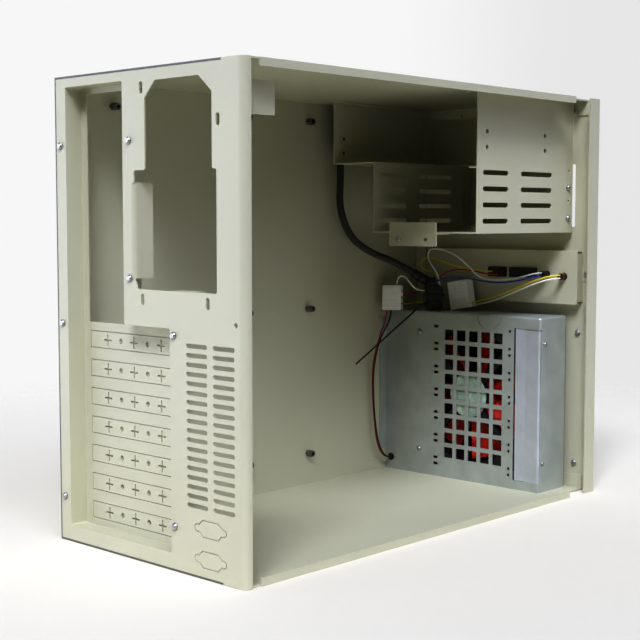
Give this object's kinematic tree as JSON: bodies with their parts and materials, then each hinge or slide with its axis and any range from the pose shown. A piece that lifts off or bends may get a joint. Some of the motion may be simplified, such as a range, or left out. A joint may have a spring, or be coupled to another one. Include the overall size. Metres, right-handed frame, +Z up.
{
  "type": "wall-mount industrial pc chassis",
  "caption": "Wall-mount industrial computer chassis with its side cover off: painted folded steel case, slot panel, drive cage, fan box and loose front wiring.",
  "frame": {"origin": "Middle of the base, on the surface it stands on.", "axes": "+Z up, +Y out of the rear face with the slots, -X out of the open side, +X out of the board tray wall."},
  "size_m": [0.192, 0.407, 0.327],
  "materials": {
    "painted_steel": "satin light warm grey paint",
    "zinc_steel": "dull zinc-plated sheet",
    "bright_zinc": "bright zinc-plated sheet",
    "filter_mesh": "black pleated wire mesh",
    "screw_steel": "zinc-plated",
    "dark_steel": "turned",
    "black_plastic": "matt",
    "red_plastic": "smooth",
    "fan_red_plastic": "moulded, slightly glossy",
    "brown_lamp": "smooth",
    "black_lamp": "smooth",
    "black_rubber": "matt",
    "white_plastic": "natural nylon",
    "black_sleeve": "matt sleeving",
    "wire_white": "insulation",
    "wire_blue": "insulation",
    "wire_yellow": "insulation",
    "wire_red": "insulation",
    "wire_black": "insulation"
  },
  "bodies": {
    "chassis": {"bay_cover_35": "painted_steel", "bay_cover_525": "painted_steel", "box_screws": "screw_steel", "cable_clamp": "black_plastic", "cable_tie": "black_plastic", "cage_screws": "screw_steel", "disk_lamp": "brown_lamp", "drive_cage": "painted_steel", "fan_box": "zinc_steel", "fan_box_strip": "bright_zinc", "fan_frame": "black_plastic", "fan_grommet": "black_rubber", "fan_lead_black": "wire_black", "fan_lead_red": "wire_red", "fan_screws": "screw_steel", "front_panel": "painted_steel", "front_screws": "screw_steel", "harness_bundle": "black_plastic", "hold_down_bracket": "painted_steel", "inlet_filter": "filter_mesh", "lamp_wire_white": "wire_white", "lamp_wire_yellow": "wire_yellow", "led_wire_blue": "wire_blue", "led_wire_white": "wire_white", "main_shell": "painted_steel", "plug_left": "white_plastic", "plug_right": "white_plastic", "plug_wire_red": "wire_red", "plug_wire_white": "wire_white", "plug_wire_yellow": "wire_yellow", "power_lamp": "black_lamp", "power_switch_body": "black_plastic", "psu_guide": "painted_steel", "rear_panel": "painted_steel", "rear_screws": "screw_steel", "reset_switch_body": "black_plastic", "sleeve_cable": "black_sleeve", "slot_carrier": "painted_steel", "slot_cover_1": "painted_steel", "slot_cover_2": "painted_steel", "slot_cover_3": "painted_steel", "slot_cover_4": "painted_steel", "slot_cover_5": "painted_steel", "slot_cover_6": "painted_steel", "slot_cover_7": "painted_steel", "slot_cover_screws": "screw_steel", "standoffs": "dark_steel", "switch_bracket": "painted_steel", "switch_wire_red": "wire_red", "switch_wire_yellow": "wire_yellow"},
    "rotor": {"fan_rotor": "fan_red_plastic"},
    "rocker": {"power_rocker": "black_plastic"},
    "button": {"reset_button": "red_plastic"}
  },
  "joints": [
    {"name": "fan_spin", "type": "hinge", "parent": "chassis", "child": "rotor", "pos_m": [0.003, -0.1685, 0.076], "axis": [0, 1, 0], "continuous": true},
    {"name": "power_rock", "type": "hinge", "parent": "chassis", "child": "rocker", "pos_m": [-0.0304, -0.199, 0.1827], "axis": [0, 0, 1], "range_deg": [-16, 0]},
    {"name": "reset_press", "type": "slide", "parent": "chassis", "child": "button", "axis": [0, 1, 0], "range_m": [0, 0.0012], "stiffness_N_per_m": 800}
  ]
}
